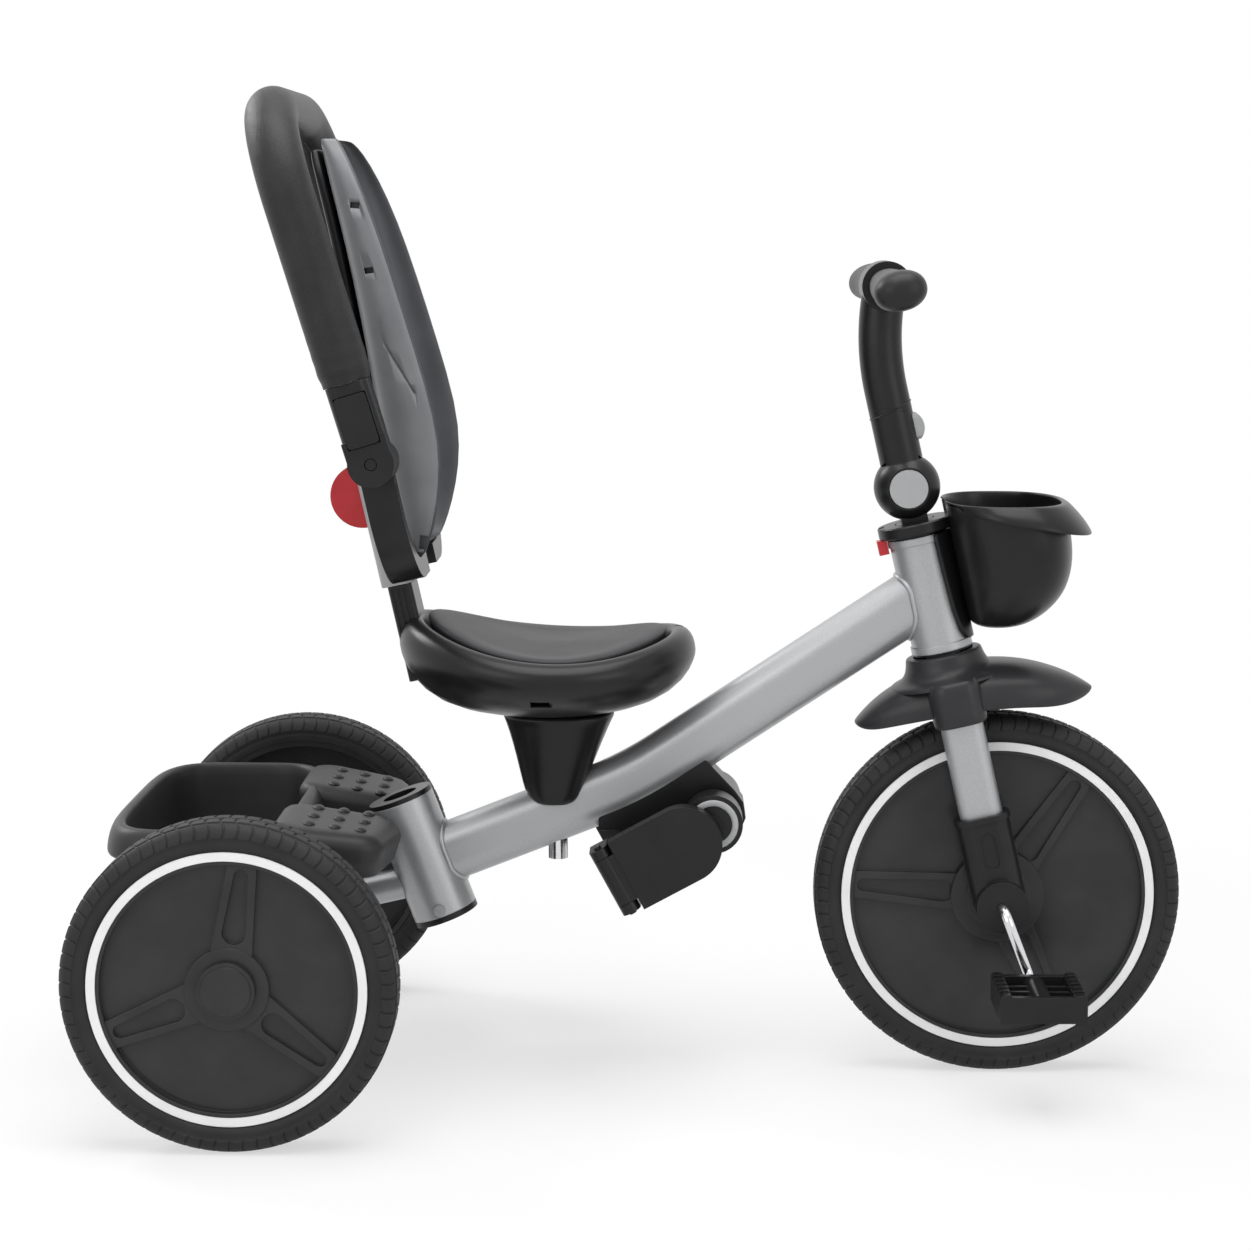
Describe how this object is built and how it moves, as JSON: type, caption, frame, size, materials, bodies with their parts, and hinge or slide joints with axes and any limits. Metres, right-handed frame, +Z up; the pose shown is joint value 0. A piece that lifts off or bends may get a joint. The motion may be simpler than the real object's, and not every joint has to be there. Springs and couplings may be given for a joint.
{
  "type": "toddler push along trike",
  "caption": "Toddler trike with pedals on the front wheel, folding handlebar, sliding backrest with a swing-over safety bar, folding footrest, front and rear baskets and a push-handle socket.",
  "frame": {"origin": "middle of the bottom of the box of the whole trike, on the ground between the wheels", "axes": "+X forward, +Y to the rider's left, +Z up"},
  "size_m": [0.878, 0.4998, 0.8042],
  "materials": {
    "silver_paint": "satin silver paint",
    "black_plastic": "fine grained black",
    "dark_plastic": "satin dark grey",
    "shell_plastic": "satin grey",
    "grey_plastic": "smooth light grey",
    "red_plastic": "smooth red",
    "pale_plastic": "gloss white",
    "chrome": "bright",
    "tyre_foam": "dark foam with moulded tread",
    "leatherette": "grained black leatherette",
    "seat_inlay": "dark grey textured inlay"
  },
  "bodies": {
    "frame": {"main_tube": "silver_paint", "head_tube": "silver_paint", "headset_bushes": "black_plastic", "handle_socket": "silver_paint", "socket_liner": "black_plastic", "socket_cap": "black_plastic", "rear_yoke": "silver_paint", "rear_axle": "chrome", "seat_post": "chrome", "seat_pedestal": "black_plastic", "seat_base": "black_plastic", "seat_pad": "seat_inlay", "post_core": "black_plastic", "front_basket": "black_plastic", "rear_basket": "black_plastic", "foot_bracket": "black_plastic", "frame_screws": "chrome"},
    "lock_tab": {"lock_tab": "red_plastic"},
    "steering": {"fork": "silver_paint", "mudguard": "dark_plastic", "fork_ends": "black_plastic", "stem_knuckle": "black_plastic"},
    "handlebar": {"stem_lower": "black_plastic", "stem_upper": "black_plastic", "handlebar_tube": "chrome", "grips": "black_plastic", "fold_pin": "chrome"},
    "pivot_button_right": {"pivot_button_right": "grey_plastic"},
    "pivot_button_left": {"pivot_button_left": "grey_plastic"},
    "stem_button": {"stem_button": "grey_plastic"},
    "front_wheel": {"front_tyre": "tyre_foam", "front_rings": "pale_plastic", "front_disc": "black_plastic", "front_hub_covers": "black_plastic", "crank": "chrome"},
    "pedal_right": {"pedal_right": "black_plastic"},
    "pedal_left": {"pedal_left": "black_plastic"},
    "rear_wheel_right": {"rear_tyre_right": "tyre_foam", "rear_ring_right": "pale_plastic", "rear_disc_right": "black_plastic", "hub_cap_right": "black_plastic"},
    "rear_wheel_left": {"rear_tyre_left": "tyre_foam", "rear_ring_left": "pale_plastic", "rear_disc_left": "black_plastic", "hub_cap_left": "black_plastic"},
    "backrest": {"backrest_shell": "shell_plastic", "backrest_panel": "black_plastic", "backrest_cover": "black_plastic", "post_cover": "grey_plastic", "side_arms": "black_plastic", "bar_pins": "chrome"},
    "height_button": {"height_button": "red_plastic"},
    "safety_bar": {"bar_tube": "chrome", "bar_pad": "leatherette", "bar_sockets": "black_plastic"},
    "bar_button_right": {"bar_button_right": "black_plastic"},
    "bar_button_left": {"bar_button_left": "black_plastic"},
    "footrest": {"foot_yoke": "black_plastic"},
    "foot_plate_right": {"foot_plate_right": "black_plastic"},
    "foot_plate_left": {"foot_plate_left": "black_plastic"}
  },
  "joints": [
    {"name": "steering_turn", "type": "hinge", "parent": "frame", "child": "steering", "pos_m": [0.289, 0, 0.15], "axis": [-0.225, 0, 0.9744], "range_deg": [-35, 35]},
    {"name": "lock_tab_slide", "type": "slide", "parent": "frame", "child": "lock_tab", "axis": [0.225, 0, -0.9744], "range_m": [0, 0.003], "stiffness_N_per_m": 400},
    {"name": "handlebar_fold", "type": "hinge", "parent": "steering", "child": "handlebar", "pos_m": [0.21162, 0, 0.48518], "axis": [0, -1, 0], "range_deg": [0, 100]},
    {"name": "pivot_button_right_press", "type": "slide", "parent": "handlebar", "child": "pivot_button_right", "axis": [0, 1, 0], "range_m": [0, 0.003], "stiffness_N_per_m": 400},
    {"name": "pivot_button_left_press", "type": "slide", "parent": "handlebar", "child": "pivot_button_left", "axis": [0, -1, 0], "range_m": [0, 0.003], "stiffness_N_per_m": 400},
    {"name": "stem_button_press", "type": "slide", "parent": "handlebar", "child": "stem_button", "axis": [-0.9744, 0, -0.225], "range_m": [0, 0.003], "stiffness_N_per_m": 400},
    {"name": "front_wheel_spin", "type": "hinge", "parent": "steering", "child": "front_wheel", "pos_m": [0.289, 0, 0.15], "axis": [0, 1, 0], "continuous": true},
    {"name": "pedal_right_spin", "type": "hinge", "parent": "front_wheel", "child": "pedal_right", "pos_m": [0.31122, -0.1245, 0.09212], "axis": [0, 1, 0], "continuous": true},
    {"name": "pedal_left_spin", "type": "hinge", "parent": "front_wheel", "child": "pedal_left", "pos_m": [0.26678, 0.1245, 0.20788], "axis": [0, 1, 0], "continuous": true},
    {"name": "rear_wheel_right_spin", "type": "hinge", "parent": "frame", "child": "rear_wheel_right", "pos_m": [-0.311, -0.225, 0.128], "axis": [0, 1, 0], "continuous": true},
    {"name": "rear_wheel_left_spin", "type": "hinge", "parent": "frame", "child": "rear_wheel_left", "pos_m": [-0.311, 0.225, 0.128], "axis": [0, 1, 0], "continuous": true},
    {"name": "backrest_height", "type": "slide", "parent": "frame", "child": "backrest", "axis": [-0.2164, 0, 0.9763], "range_m": [-0.024, 0]},
    {"name": "height_button_press", "type": "slide", "parent": "backrest", "child": "height_button", "axis": [0.9763, 0, 0.2164], "range_m": [0, 0.005], "stiffness_N_per_m": 400},
    {"name": "safety_bar_swing", "type": "hinge", "parent": "backrest", "child": "safety_bar", "pos_m": [-0.208, 0, 0.515], "axis": [0, 1, 0], "range_deg": [0, 105]},
    {"name": "bar_button_right_press", "type": "slide", "parent": "safety_bar", "child": "bar_button_right", "axis": [0, 1, 0], "range_m": [0, 0.0025], "stiffness_N_per_m": 400},
    {"name": "bar_button_left_press", "type": "slide", "parent": "safety_bar", "child": "bar_button_left", "axis": [0, -1, 0], "range_m": [0, 0.0025], "stiffness_N_per_m": 400},
    {"name": "footrest_swing", "type": "hinge", "parent": "frame", "child": "footrest", "pos_m": [0.055, 0, 0.216], "axis": [0, -1, 0], "range_deg": [0, 62]},
    {"name": "foot_plate_right_fold", "type": "hinge", "parent": "footrest", "child": "foot_plate_right", "pos_m": [-0.02402, -0.068, 0.17292], "axis": [0.4787, 0, -0.878], "range_deg": [0, 90]},
    {"name": "foot_plate_left_fold", "type": "hinge", "parent": "footrest", "child": "foot_plate_left", "pos_m": [-0.02402, 0.068, 0.17292], "axis": [-0.4787, 0, 0.878], "range_deg": [0, 90]}
  ]
}
